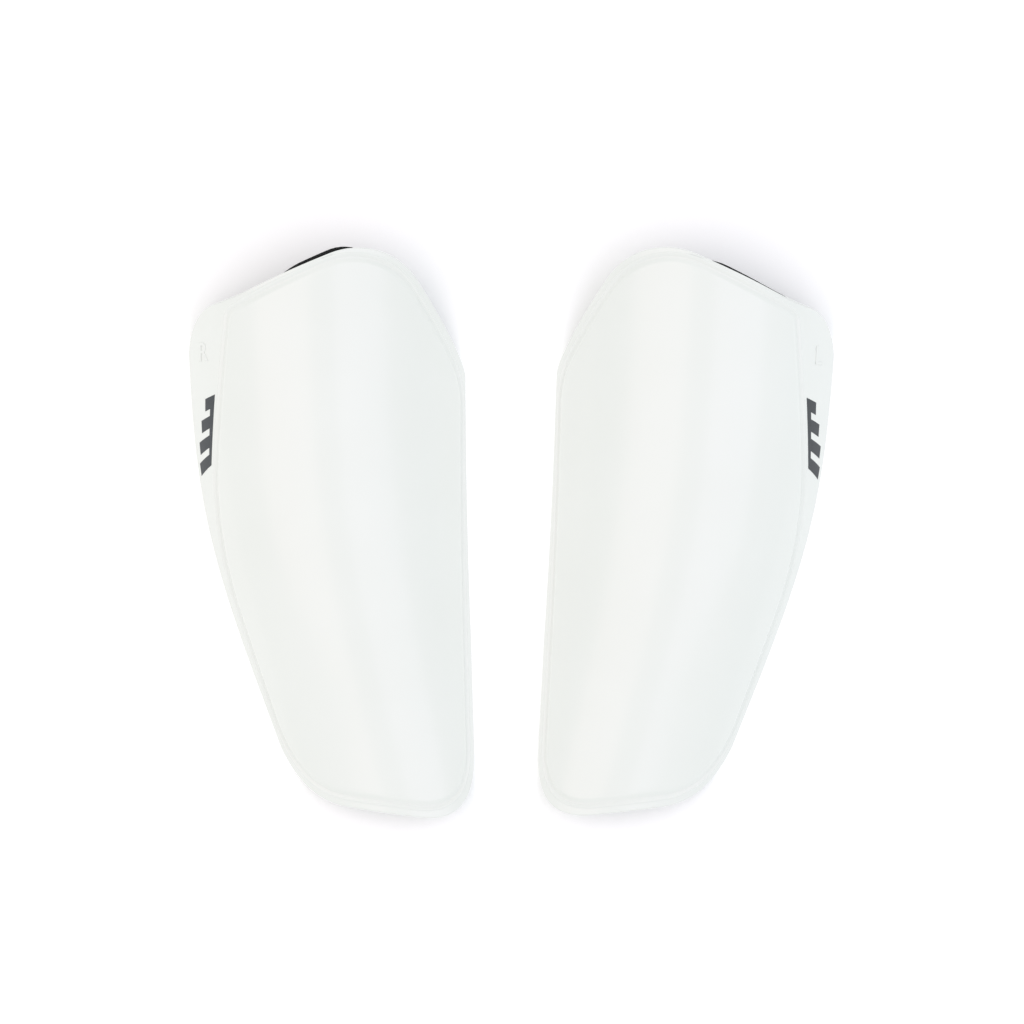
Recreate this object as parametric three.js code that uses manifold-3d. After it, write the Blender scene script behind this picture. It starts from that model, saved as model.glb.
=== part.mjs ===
// A pair of slip-in shin guards, lying side by side with their hollow sides down.
// Millimetres. +Z is up, +Y runs towards the knee, and the wings are on the outer sides.
//
// A guard is drawn on its flat pattern, where u runs round the shin and y along it, and is then bent
// over an arch. Its layers, from the outside in, are a moulded shell, an adhesive film, a foam pad and
// a knitted lining. The right guard is built, and the left one is its mirror image.

import * as THREE from 'three';
import Module from 'manifold-3d';
import { mergeVertices } from 'three/addons/utils/BufferGeometryUtils.js';

const wasm = await Module();
wasm.setup();

// ---- the arch: its sizes near the knee, and how much they change for each millimetre down the leg ----
const MIDDLE_AT_KNEE = -3.8;    // where the middle between its two ground lines lies
const MIDDLE_DRIFT = 0.23;
const HALF_SPAN_AT_KNEE = 53.67;
const SPAN_TAPER = 0.1854;
const CREST_AT_KNEE = -7.2;     // where its crest line lies
const CREST_DRIFT = 0.275;
const CREST_RADIUS = 48;
const HEIGHT_AT_KNEE = 32.8;
const HEIGHT_TAPER = 0.165;
const WRAP_RADIUS = 60.8;       // the circle that the flat pattern is wrapped round
const WRAP_TAPER = 0.21;
const TAPER_START = 5;
const TAPER_BLEND = 50;
const FLARE_START = 60;         // past this the two ends lift and spread
const KNEE_FLARE = 0.001;
const KNEE_SPREAD = 0.00064;
const ANKLE_FLARE = 0.001;
const ANKLE_SPREAD = 0.00053;

// ---- the flat pattern: [u, y, cut], the cut being how far each rounding reaches along its sides ----
const OUTLINE = [
  { name: 'kneeOuter', at: [-67, 81, 21] },
  { name: null, at: [-37, 86.5, 12] },
  { name: 'peak', at: [21.3, 110.4, 22.2] },
  { name: 'kneeInner', at: [64.6, 57, 10] },
  { name: 'ankleInner', at: [60.5, -109.5, 27] },
  { name: 'ankleOuter', at: [-22, -98.5, 28] },
  { name: 'wingFoot', at: [-64.5, 13, 14] },
];
const PANEL = [
  { name: 'kneeOuter', at: [-40.2, 81.3, 2.5] },
  { name: 'peak', at: [19.1, 107.6, 23] },
  { name: 'kneeInner', at: [60.2, 57, 9] },
  { name: 'ankleInner', at: [56.6, -104.8, 24] },
  { name: 'ankleOuter', at: [-19, -94.6, 25] },
  { name: 'wingFoot', at: [-51.5, -2, 28] },
];
const CORE = [
  { name: 'kneeOuter', at: [-33, 72, 6] },
  { name: 'peak', at: [18.3, 96.5, 20] },
  { name: 'kneeInner', at: [47.5, 52, 12] },
  { name: 'ankleInner', at: [45, -93.5, 18] },
  { name: 'ankleOuter', at: [-11.5, -84.5, 20] },
  { name: 'wingFoot', at: [-42.5, -2, 26] },
];
const CORNER_PULL = 0.6;        // how far a rounding's handles lie towards its corner
const STEPS = { kneeOuter: 9, peak: 7, kneeInner: 12, ankleInner: 16, ankleOuter: 6, wingFoot: 6 };
const ACROSS = STEPS.kneeOuter + STEPS.peak;
const ALONG = STEPS.kneeInner;
const RING = 2 * (ACROSS + ALONG);
const ROW_SHARES = [0.32, 0.56, 0.8];
const FIRST_ROW = 0.6;          // the first row lies this much of a step from the edge

// ---- layers, as depths below the guard's outer surface ----
const SHELL = 2.4;
const GAP = 0.38;
const FILM = 0.2;
const FOAM = 4.2;
const KNIT = 0.6;
const EDGE_INSET = 3;           // how far the soft layers stop short of the shell's edge
const INSET_PER_DEPTH = 1.05;   // and how much more for each millimetre of depth
const FILM_SETBACK = { right: 4.6, left: 5.8 }; // how far each film stops short of the other soft layers
// The foam shows past the shell on the knee edge, round a place that differs as the pads are glued in.
const FOAM_PROUD = {
  right: { at: -4, by: 1.45, level: 5, reach: 40 },
  left: { at: -23, by: 1.05, level: 12, reach: 38 },
};

// ---- the shell's relief ----
const EDGE_ROUND = 0.5;
const PANEL_RISE = 0.45;
const SHOULDER = 2;
const BEAD_RISE = 0.25;
const BEAD_WIDTH = 1.2;
const BEAD_SETBACK = 0.5;
const GROOVE_DEPTH = 0.3;

// ---- the wing's letter and mark ----
const LETTER_AT = [-53.7, 67];
const LETTER_RISE = 0.35;
const LETTER_ROOT = 0.8;
const MARK_TOP = 51;
const TOOTH = 4.6;
const TOOTH_GAP = 2.6;
const TOOTH_SLANT = 0.28;
const TEETH = [2, 3, 4, 4];     // how many stations each bar reaches
const MARK_STATIONS = [0, 0.17, 0.4, 0.62, 0.82, 1];
const MARK_FROM_PANEL = 3;
const MARK_FROM_EDGE = 2.6;
const MARK_THICKNESS = 0.2;

const GUARD_OFFSET = 66.4;      // from the pair's middle to each guard's own centre line
const LEFT_TURN = -1.5;        // degrees by which the left guard lies turned

// ---- the arch's formulas ----
function taperRamp(y) {
  const below = TAPER_START - y;
  return (below + Math.hypot(below, TAPER_BLEND)) / 2;
}

// One section of the arch, square to y.
function sectionAt(y) {
  const ramp = taperRamp(y);
  const kneeEnd = Math.max(0, y - FLARE_START) ** 2;
  const ankleEnd = Math.max(0, -FLARE_START - y) ** 2;
  return {
    middle: MIDDLE_AT_KNEE + MIDDLE_DRIFT * ramp,
    halfSpan: HALF_SPAN_AT_KNEE - SPAN_TAPER * ramp + KNEE_SPREAD * kneeEnd + ANKLE_SPREAD * ankleEnd,
    crest: CREST_AT_KNEE + CREST_DRIFT * ramp,
    height: HEIGHT_AT_KNEE - HEIGHT_TAPER * ramp + KNEE_FLARE * kneeEnd + ANKLE_FLARE * ankleEnd,
    wrap: WRAP_RADIUS - WRAP_TAPER * ramp,
  };
}

// Each side of a section is a conic that leaves the crest level and reaches its ground line.
function flankOf({ middle, halfSpan, crest, height }, side) {
  const reach = halfSpan + side * (middle - crest);
  const bulge = (reach ** 2 - 2 * CREST_RADIUS * height) / height ** 2;
  const spread = (away) => Math.sqrt(CREST_RADIUS ** 2 + bulge * away ** 2);
  return {
    reach,
    drop: (away) => away ** 2 / (CREST_RADIUS + spread(away)),
    slope: (away) => away / spread(away),
    awayAt: (drop) => Math.sqrt(2 * CREST_RADIUS * drop + bulge * drop ** 2),
  };
}

// How far from the crest a layer at this depth meets the ground plane.
function groundReach(flank, height, depth) {
  let away = flank.reach;
  for (let round = 0; round < 12; round += 1) {
    away = flank.awayAt(height - depth / Math.hypot(1, flank.slope(away)));
  }
  return away;
}

// Bends a point of the flat pattern over the arch.
function onArch(point, depth) {
  const section = sectionAt(point.y);
  const most = Math.asin(section.halfSpan / section.wrap);
  const angle = THREE.MathUtils.clamp((point.x - section.middle) / section.wrap, -most, most);
  const across = section.middle + section.wrap * Math.sin(angle) - section.crest;
  const side = across < 0 ? -1 : 1;
  const flank = flankOf(section, side);
  const away = Math.min(Math.abs(across), groundReach(flank, section.height, depth));
  const slope = flank.slope(away);
  const inwards = depth / Math.hypot(1, slope);
  const x = section.crest + side * (away - inwards * slope);
  const z = section.height - flank.drop(away) - inwards;
  return new THREE.Vector3(x, point.y, Math.abs(z) < 1e-6 ? 0 : z);
}

// How far from the middle the flat pattern reaches before it meets the ground line.
function flatSpan({ halfSpan, wrap }) {
  return wrap * Math.asin(halfSpan / wrap);
}

// Where the flat pattern is cut off, because the guard's long edges stand on the ground plane.
function trimmed(point) {
  const section = sectionAt(point.y);
  const span = flatSpan(section);
  const u = THREE.MathUtils.clamp(point.x, section.middle - span, section.middle + span);
  return new THREE.Vector2(u, point.y);
}

// ---- loops on the flat pattern, clockwise seen from outside ----
// Samples a polygon with rounded corners: the same number of points between the same named corners.
function sampleLoop(corners) {
  const path = new THREE.CurvePath();
  const spots = corners.map(({ at }) => new THREE.Vector2(at[0], at[1]));
  corners.forEach(({ at }, index) => {
    const here = spots[index];
    const before = spots.at(index - 1);
    const after = spots[(index + 1) % spots.length];
    const start = here.clone().add(before.clone().sub(here).setLength(at[2]));
    const end = here.clone().add(after.clone().sub(here).setLength(at[2]));
    const leave = start.clone().lerp(here, CORNER_PULL);
    const arrive = end.clone().lerp(here, CORNER_PULL);
    if (index > 0) {
      path.add(new THREE.LineCurve(path.curves.at(-1).getPoint(1), start));
    }
    path.add(new THREE.CubicBezierCurve(start, leave, arrive, end));
  });
  path.closePath();

  const lengths = [0, ...path.getCurveLengths()];
  const total = lengths.at(-1);
  const stops = [];
  corners.forEach(({ name }, index) => {
    if (name) {
      stops.push({ name, at: (lengths[2 * index] + lengths[2 * index + 1]) / 2 });
    }
  });
  const points = [];
  stops.forEach((stop, index) => {
    const next = index + 1 < stops.length ? stops[index + 1].at : stops[0].at + total;
    for (let step = 0; step < STEPS[stop.name]; step += 1) {
      const along = THREE.MathUtils.lerp(stop.at, next, step / STEPS[stop.name]);
      points.push(path.getPoint((along / total) % 1));
    }
  });
  return points;
}

// Moves each point of a loop inwards by its own distance.
function inset(loop, distance) {
  return loop.map((point, index) => {
    const next = loop[(index + 1) % RING];
    const before = loop.at(index - 1);
    const heading = next.clone().sub(before).normalize();
    const inwards = new THREE.Vector2(heading.y, -heading.x);
    const amount = typeof distance === 'function' ? distance(point, index) : distance;
    return point.clone().addScaledVector(inwards, amount);
  });
}

function between(loopA, loopB, share) {
  return loopA.map((point, index) => point.clone().lerp(loopB[index], share));
}

const outline = sampleLoop(OUTLINE).map(trimmed);
const panel = sampleLoop(PANEL);
const core = sampleLoop(CORE);

// A grid of points that fills the core loop (a Coons patch over its four sides).
function corePoint(column, row) {
  const across = column / ACROSS;
  const down = row / ALONG;
  const knee = core[column];
  const inner = core[ACROSS + row];
  const ankle = core[ACROSS + ALONG + (ACROSS - column)];
  const outer = core[(RING - row) % RING];
  const corners = [core[0], core[ACROSS], core[ACROSS + ALONG], core[2 * ACROSS + ALONG]];
  const blend = (axis) => {
    const sides = (1 - down) * knee[axis] + down * ankle[axis]
      + (1 - across) * outer[axis] + across * inner[axis];
    const twice = (1 - down) * ((1 - across) * corners[0][axis] + across * corners[1][axis])
      + down * ((1 - across) * corners[3][axis] + across * corners[2][axis]);
    return sides - twice;
  };
  return new THREE.Vector2(blend('x'), blend('y'));
}

// ---- solids ----
function addQuad(triangles, a, b, c, d) {
  triangles.push([a, b, c], [a, c, d]);
}

function signedVolume(triangles) {
  return triangles.reduce((sum, [a, b, c]) => sum + a.dot(b.clone().cross(c)) / 6, 0);
}

// Turns triangles into a closed geometry whose faces point outwards.
function toGeometry(triangles) {
  const outwards = signedVolume(triangles) > 0;
  const corners = triangles.flatMap(([a, b, c]) => (outwards ? [a, b, c] : [a, c, b]));
  const geometry = new THREE.BufferGeometry().setFromPoints(corners);
  return mergeVertices(geometry, 1e-5);
}

// A bent plate. Its rings run from the core's edge on the outer face, out over the rim, and back to the
// core's edge on the inner face; both faces are closed by the core grid.
function bentPlate(rings) {
  const triangles = [];
  const solidRings = rings.map(({ loop, depth }) => loop.map((point) => onArch(point, depth)));
  for (let ring = 0; ring + 1 < rings.length; ring += 1) {
    for (let index = 0; index < RING; index += 1) {
      const next = (index + 1) % RING;
      const inside = solidRings[ring];
      const outside = solidRings[ring + 1];
      addQuad(triangles, inside[index], inside[next], outside[next], outside[index]);
    }
  }
  const outerDepth = rings[0].depth;
  const innerDepth = rings.at(-1).depth;
  for (let column = 0; column < ACROSS; column += 1) {
    for (let row = 0; row < ALONG; row += 1) {
      const cell = [[column, row], [column, row + 1], [column + 1, row + 1], [column + 1, row]];
      const outer = cell.map(([c, r]) => onArch(corePoint(c, r), outerDepth));
      const inner = cell.map(([c, r]) => onArch(corePoint(c, r), innerDepth));
      addQuad(triangles, ...outer);
      addQuad(triangles, ...inner.reverse());
    }
  }
  return toGeometry(triangles);
}

// The rows between a layer's edge and the core. The layers share them where this ring is wide, so that
// their facets nest.
function rowsFrom(edge) {
  return ROW_SHARES.map((share, row) => edge.map((point, index) => {
    const whole = outline[index].distanceTo(core[index]);
    const used = 1 - point.distanceTo(core[index]) / whole;
    const least = THREE.MathUtils.lerp(used, 1, (row + FIRST_ROW) / (ROW_SHARES.length + FIRST_ROW));
    return outline[index].clone().lerp(core[index], Math.max(share, least));
  }));
}

// The rings of one plain face, from its edge loop in to the core.
function plainFace(edge, depth) {
  return [edge, ...rowsFrom(edge), core].map((loop) => ({ loop, depth }));
}

function softLayer(outerDepth, thickness, edgeInset) {
  const innerDepth = outerDepth + thickness;
  const outerEdge = inset(outline, edgeInset(outerDepth));
  const innerEdge = inset(outline, edgeInset(innerDepth));
  return bentPlate([...plainFace(outerEdge, outerDepth).reverse(), ...plainFace(innerEdge, innerDepth)]);
}

// The soft layers stop further in the deeper they lie.
function plainInset(depth) {
  return EDGE_INSET + INSET_PER_DEPTH * depth;
}

function filmInset(setback) {
  return (depth) => plainInset(depth) + setback;
}

// The foam stands proud of the shell along part of the knee edge.
function foamInset({ at, by, level, reach }) {
  return (depth) => (point, index) => {
    const away = THREE.MathUtils.clamp((Math.abs(point.x - at) - level) / (reach - level), 0, 1);
    const proud = index > ACROSS ? 0 : Math.cos((away * Math.PI) / 2) ** 2;
    return THREE.MathUtils.lerp(plainInset(depth), -by, proud);
  };
}

function toManifold(geometry) {
  const bare = new THREE.BufferGeometry();
  bare.setAttribute('position', geometry.getAttribute('position'));
  bare.setIndex(geometry.index);
  const merged = mergeVertices(bare, 1e-5);
  const vertProperties = new Float32Array(merged.getAttribute('position').array);
  const triVerts = new Uint32Array(merged.index.array);
  return new wasm.Manifold(new wasm.Mesh({ numProp: 3, vertProperties, triVerts }));
}

function fromManifold(solid) {
  const mesh = solid.getMesh();
  const geometry = new THREE.BufferGeometry();
  geometry.setAttribute('position', new THREE.BufferAttribute(mesh.vertProperties, 3));
  geometry.setIndex(new THREE.BufferAttribute(mesh.triVerts, 1));
  return geometry;
}

// The raised side letters, drawn from their lower left corner.
function letterShape(letter) {
  if (letter === 'L') {
    return new THREE.Shape([[0, 0], [4.6, 0], [4.6, 1.2], [1.2, 1.2], [1.2, 7], [0, 7]]
      .map(([x, y]) => new THREE.Vector2(x, y)));
  }
  const shape = new THREE.Shape([[0, 0], [1.2, 0], [1.2, 2.8], [2.3, 2.8], [3.6, 0], [5, 0], [3.6, 3],
    [4.8, 4], [4.8, 6], [3.8, 7], [0, 7]].map(([x, y]) => new THREE.Vector2(x, y)));
  const eye = [[1.2, 3.9], [1.2, 5.9], [3.3, 5.9], [3.7, 5.5], [3.7, 4.3], [3.3, 3.9]];
  shape.holes.push(new THREE.Path(eye.map(([x, y]) => new THREE.Vector2(x, y))));
  return shape;
}

// A letter as a solid that is rooted in the shell. Reading is -1 where the guard will be mirrored.
function raisedLetter(letter, reading) {
  const depth = LETTER_RISE + LETTER_ROOT;
  const flat = new THREE.ExtrudeGeometry(letterShape(letter), { depth, bevelEnabled: false });
  flat.computeBoundingBox();
  const middle = flat.boundingBox.getCenter(new THREE.Vector3());
  const soup = flat.index ? flat.toNonIndexed() : flat;
  const places = soup.getAttribute('position');
  const corners = [];
  for (let index = 0; index < places.count; index += 1) {
    const u = LETTER_AT[0] + reading * (places.getX(index) - middle.x);
    const y = LETTER_AT[1] + places.getY(index) - middle.y;
    corners.push(onArch(new THREE.Vector2(u, y), LETTER_ROOT - places.getZ(index)));
  }
  const triangles = [];
  for (let index = 0; index < corners.length; index += 3) {
    triangles.push(corners.slice(index, index + 3));
  }
  return toGeometry(triangles);
}

function shellGeometry(letter, reading) {
  const rimInside = inset(outline, 2 * EDGE_ROUND);
  const beadOutside = inset(panel, -BEAD_SETBACK - BEAD_WIDTH);
  const plate = bentPlate([
    { loop: core, depth: -PANEL_RISE },
    { loop: inset(panel, SHOULDER), depth: -PANEL_RISE },
    { loop: inset(panel, SHOULDER / 3), depth: -PANEL_RISE / 4 },
    { loop: panel, depth: GROOVE_DEPTH },
    { loop: inset(panel, -BEAD_SETBACK), depth: 0 },
    { loop: inset(panel, -BEAD_SETBACK - BEAD_WIDTH / 2), depth: -BEAD_RISE },
    { loop: beadOutside, depth: 0 },
    { loop: between(beadOutside, rimInside, 1 / 3), depth: 0 },
    { loop: between(beadOutside, rimInside, 2 / 3), depth: 0 },
    { loop: rimInside, depth: 0 },
    { loop: outline, depth: EDGE_ROUND },
    { loop: outline, depth: SHELL - EDGE_ROUND },
    ...plainFace(rimInside, SHELL),
  ]);
  const whole = toManifold(plate).add(toManifold(raisedLetter(letter, reading)));
  return fromManifold(whole);
}

// The printed mark: a row of slanted bars that grow from a narrow spine beside the panel.
function markPoint(station, y) {
  const slanted = y - TOOTH_SLANT * 14 * MARK_STATIONS[station];
  const beside = panelLine(slanted) - MARK_FROM_PANEL;
  const section = sectionAt(slanted);
  const edge = section.middle - flatSpan(section) + MARK_FROM_EDGE;
  return new THREE.Vector2(THREE.MathUtils.lerp(beside, edge, MARK_STATIONS[station]), slanted);
}

// Where the panel's wing line lies at a height y.
function panelLine(y) {
  const wingSide = panel.slice(2 * ACROSS + ALONG + STEPS.ankleOuter).concat(panel[0]);
  for (let index = 0; index + 1 < wingSide.length; index += 1) {
    const [low, high] = [wingSide[index], wingSide[index + 1]];
    if (y <= high.y) {
      return THREE.MathUtils.lerp(low.x, high.x, (y - low.y) / (high.y - low.y));
    }
  }
  return panel[0].x;
}

function markGeometry() {
  const rows = [];
  TEETH.forEach((reach, tooth) => {
    const top = MARK_TOP - tooth * (TOOTH + TOOTH_GAP);
    rows.push({ top, bottom: top - TOOTH, reach });
    if (tooth + 1 < TEETH.length) {
      rows.push({ top: top - TOOTH, bottom: top - TOOTH - TOOTH_GAP, reach: 0 });
    }
  });
  const filled = (row, station) => {
    const inside = row >= 0 && row < rows.length && station >= 0;
    return inside && station <= rows[row].reach;
  };
  const outerDepth = -GAP - MARK_THICKNESS;
  const triangles = [];
  rows.forEach(({ top, bottom }, row) => {
    for (let station = 0; filled(row, station); station += 1) {
      const flat = [
        markPoint(station, top),
        markPoint(station + 1, top),
        markPoint(station + 1, bottom),
        markPoint(station, bottom),
      ];
      const upper = flat.map((point) => onArch(point, outerDepth));
      const lower = flat.map((point) => onArch(point, -GAP));
      addQuad(triangles, ...upper);
      addQuad(triangles, ...lower.slice().reverse());
      const open = [
        !filled(row - 1, station),
        !filled(row, station + 1),
        !filled(row + 1, station),
        !filled(row, station - 1),
      ];
      open.forEach((isOpen, side) => {
        if (isOpen) {
          const next = (side + 1) % 4;
          addQuad(triangles, upper[next], upper[side], lower[side], lower[next]);
        }
      });
    }
  });
  return toGeometry(triangles);
}

// ---- the two guards ----
function mirrored(geometry) {
  const soup = geometry.toNonIndexed();
  const places = soup.getAttribute('position');
  const triangles = [];
  for (let index = 0; index < places.count; index += 3) {
    const corners = [0, 1, 2].map((corner) => new THREE.Vector3()
      .fromBufferAttribute(places, index + corner)
      .setX(-places.getX(index + corner)));
    triangles.push(corners);
  }
  return toGeometry(triangles);
}

function namedMesh(name, geometry, finish) {
  geometry.computeVertexNormals();
  const mesh = new THREE.Mesh(geometry, new THREE.MeshStandardMaterial(finish));
  mesh.name = name;
  return mesh;
}

const FINISHES = {
  shell: { color: '#f4f5f2', roughness: 0.28, metalness: 0 },
  bond_film: { color: '#d8d2be', roughness: 0.6, metalness: 0 },
  foam_pad: { color: '#17191a', roughness: 0.85, metalness: 0 },
  lining: { color: '#1d1f21', roughness: 0.95, metalness: 0 },
  side_mark: { color: '#3a3d40', roughness: 0.5, metalness: 0 },
};

function makeGuard(side, letter, isMirrored) {
  const filmDepth = SHELL + GAP;
  const foamDepth = filmDepth + FILM + GAP;
  const knitDepth = foamDepth + FOAM + GAP;
  const pieces = {
    shell: shellGeometry(letter, isMirrored ? -1 : 1),
    bond_film: softLayer(filmDepth, FILM, filmInset(FILM_SETBACK[side])),
    foam_pad: softLayer(foamDepth, FOAM, foamInset(FOAM_PROUD[side])),
    lining: softLayer(knitDepth, KNIT, plainInset),
    side_mark: markGeometry(),
  };
  const guard = new THREE.Group();
  Object.entries(pieces).forEach(([piece, geometry]) => {
    const solid = isMirrored ? mirrored(geometry) : geometry;
    guard.add(namedMesh(`${side}_${piece}`, solid, FINISHES[piece]));
  });
  guard.position.x = isMirrored ? GUARD_OFFSET : -GUARD_OFFSET;
  guard.rotation.z = isMirrored ? THREE.MathUtils.degToRad(LEFT_TURN) : 0;
  return guard;
}

const pair = new THREE.Group();
pair.add(makeGuard('right', 'R', false));
pair.add(makeGuard('left', 'L', true));

// The origin is under the middle of the pair.
const middle = new THREE.Box3().setFromObject(pair, true).getCenter(new THREE.Vector3());
pair.position.set(-middle.x, -middle.y, 0);

export default pair;
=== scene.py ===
"""Slip-in shin guards, a right one and a left one, lying hollow side down.

A guard is drawn on its flat pattern, in millimetres, where u runs round the shin and y along it towards
the knee, and is then bent over an arch. The right guard is built as drawn and the left one mirrored.
Finished meshes are in metres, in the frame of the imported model.
"""

import logging
import math
from dataclasses import dataclass, field
from enum import Enum
from typing import Callable

import bpy
import numpy as np
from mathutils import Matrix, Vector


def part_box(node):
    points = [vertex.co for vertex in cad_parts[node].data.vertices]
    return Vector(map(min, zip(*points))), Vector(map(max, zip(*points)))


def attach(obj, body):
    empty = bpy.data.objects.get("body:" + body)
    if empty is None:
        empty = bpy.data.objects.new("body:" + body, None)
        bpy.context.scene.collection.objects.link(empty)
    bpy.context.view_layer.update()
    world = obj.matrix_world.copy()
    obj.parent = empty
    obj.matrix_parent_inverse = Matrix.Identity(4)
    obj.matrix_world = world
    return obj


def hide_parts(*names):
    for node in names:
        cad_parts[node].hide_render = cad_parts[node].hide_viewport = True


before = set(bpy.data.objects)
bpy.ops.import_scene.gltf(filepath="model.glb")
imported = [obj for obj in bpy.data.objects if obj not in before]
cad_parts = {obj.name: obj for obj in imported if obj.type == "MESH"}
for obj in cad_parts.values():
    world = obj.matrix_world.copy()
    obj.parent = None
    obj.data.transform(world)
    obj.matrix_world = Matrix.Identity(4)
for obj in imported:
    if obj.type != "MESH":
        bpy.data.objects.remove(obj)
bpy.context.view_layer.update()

MM = 0.001
LEFT_TURN = -1.5  # degrees
LOG = logging.getLogger("shin_guards")
Array = np.ndarray


class Side(Enum):
    """Which leg a guard is for, with the sign that turns the drawing into it."""

    RIGHT = 1
    LEFT = -1

    @property
    def label(self) -> str:
        """The word that starts the names of the guard's nodes and pieces."""
        return self.name.lower()

    @property
    def letter(self) -> str:
        """The letter that is raised on the wing."""
        return self.name[0]

    @property
    def turn(self) -> float:
        """The angle by which the guard lies turned on the table."""
        return 0.0 if self is Side.RIGHT else math.radians(LEFT_TURN)

    @property
    def body(self) -> str:
        """The body of the frame that the guard is."""
        return f"{self.label}_guard"


# ---------------------------------------------------------------------------------------------------
# The arch and the flat pattern
# ---------------------------------------------------------------------------------------------------


@dataclass(frozen=True)
class Flank:
    """One side of some sections: conics that leave the crest level and reach the ground line."""

    side: Array
    reach: Array
    height: Array
    radius: float
    rounds: int = 12

    @property
    def bulge(self) -> Array:
        """How much fuller than a parabola each conic is, where a negative one is fuller."""
        return (self.reach**2 - 2 * self.radius * self.height) / self.height**2

    def _spread(self, away: Array) -> Array:
        """The root that both the drop and the slope are made of."""
        return np.sqrt(self.radius**2 + self.bulge * away**2)

    def drop(self, away: Array) -> Array:
        """How far below the crest the surface lies, this far across from it."""
        return away**2 / (self.radius + self._spread(away))

    def slope(self, away: Array) -> Array:
        """How steeply the surface falls there."""
        return away / self._spread(away)

    def ground_reach(self, depth: Array) -> Array:
        """How far across from the crest a layer at this depth meets the ground."""
        away = self.reach
        for _ in range(self.rounds):
            drop = self.height - depth / np.hypot(1, self.slope(away))
            away = np.sqrt(2 * self.radius * drop + self.bulge * drop**2)
        return away


@dataclass(frozen=True)
class Section:
    """Cross-sections of the arch, square to y."""

    middle: Array
    half_span: Array
    crest: Array
    height: Array
    wrap: Array
    radius: float

    def flat_span(self) -> Array:
        """How far from the middle the flat pattern reaches before it meets the ground line."""
        return self.wrap * np.arcsin(self.half_span / self.wrap)

    def across(self, u: Array) -> Array:
        """How far across from the crest the flat pattern's u lies."""
        most = np.arcsin(self.half_span / self.wrap)
        angle = np.clip((u - self.middle) / self.wrap, -most, most)
        return self.middle + self.wrap * np.sin(angle) - self.crest

    def flank(self, across: Array) -> Flank:
        """The flank that each place lies on."""
        side = np.where(across < 0, -1.0, 1.0)
        reach = self.half_span + side * (self.middle - self.crest)
        return Flank(side, reach, self.height, self.radius)


@dataclass(frozen=True)
class Arch:
    """The bent surface of a guard: its sizes near the knee, and how they change down the leg."""

    middle_at_knee: float = -3.8
    middle_drift: float = 0.23
    half_span_at_knee: float = 53.67
    span_taper: float = 0.1854
    crest_at_knee: float = -7.2
    crest_drift: float = 0.275
    crest_radius: float = 48.0
    height_at_knee: float = 32.8
    height_taper: float = 0.165
    wrap_radius: float = 60.8
    wrap_taper: float = 0.21
    taper_start: float = 5.0
    taper_blend: float = 50.0
    flare_start: float = 60.0
    knee_flare: float = 0.001
    knee_spread: float = 0.00064
    ankle_flare: float = 0.001
    ankle_spread: float = 0.00053
    on_ground: float = 1e-5

    def section(self, y: Array) -> Section:
        """The sections at the heights y."""
        below = self.taper_start - y
        ramp = (below + np.hypot(below, self.taper_blend)) / 2
        knee = np.maximum(0, y - self.flare_start) ** 2
        ankle = np.maximum(0, -self.flare_start - y) ** 2
        spread = self.knee_spread * knee + self.ankle_spread * ankle
        lift = self.knee_flare * knee + self.ankle_flare * ankle
        return Section(
            middle=self.middle_at_knee + self.middle_drift * ramp,
            half_span=self.half_span_at_knee - self.span_taper * ramp + spread,
            crest=self.crest_at_knee + self.crest_drift * ramp,
            height=self.height_at_knee - self.height_taper * ramp + lift,
            wrap=self.wrap_radius - self.wrap_taper * ramp,
            radius=self.crest_radius,
        )

    def bend(self, flat: Array, depth: Array) -> Array:
        """Bends points of the flat pattern over the arch.

        Args:
            flat: Points as rows of u and y.
            depth: How far each lies below the outer face, or one depth for all.

        Returns:
            The points in space, as rows of x, y and z.
        """
        section = self.section(flat[:, 1])
        across = section.across(flat[:, 0])
        flank = section.flank(across)
        away = np.minimum(np.abs(across), flank.ground_reach(depth))
        slope = flank.slope(away)
        inwards = depth / np.hypot(1, slope)
        x = section.crest + flank.side * (away - inwards * slope)
        z = section.height - flank.drop(away) - inwards
        return np.column_stack([x, flat[:, 1], np.where(np.abs(z) < self.on_ground, 0.0, z)])

    def normals(self, flat: Array) -> Array:
        """The directions square to the arch, pointing out of the guard, at points of the pattern."""
        section = self.section(flat[:, 1])
        across = section.across(flat[:, 0])
        flank = section.flank(across)
        slope = flank.slope(np.abs(across))
        length = np.hypot(1, slope)
        return np.column_stack([flank.side * slope / length, 0 * slope, 1 / length])

    def trim(self, flat: Array) -> Array:
        """Cuts the flat pattern off where the guard's long edges stand on the ground."""
        section = self.section(flat[:, 1])
        span = section.flat_span()
        u = np.clip(flat[:, 0], section.middle - span, section.middle + span)
        return np.column_stack([u, flat[:, 1]])


@dataclass(frozen=True)
class Corner:
    """A corner of a rounded outline. The rounding reaches `cut` along both of its sides."""

    u: float
    y: float
    cut: float
    stop: bool = True


@dataclass(frozen=True)
class Lattice:
    """How many steps an outline gets between its stops, going clockwise from the outer knee corner."""

    steps: tuple[int, ...]

    @property
    def across(self) -> int:
        """Columns of the grid that fills the core."""
        return self.steps[0] + self.steps[1]

    @property
    def along(self) -> int:
        """Rows of the grid that fills the core."""
        return self.steps[2]

    @property
    def ring(self) -> int:
        """Points in one loop."""
        return 2 * (self.across + self.along)


def ease(share: Array) -> Array:
    """A smooth step from 0 to 1."""
    share = np.clip(share, 0.0, 1.0)
    return share * share * (3 - 2 * share)


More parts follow.
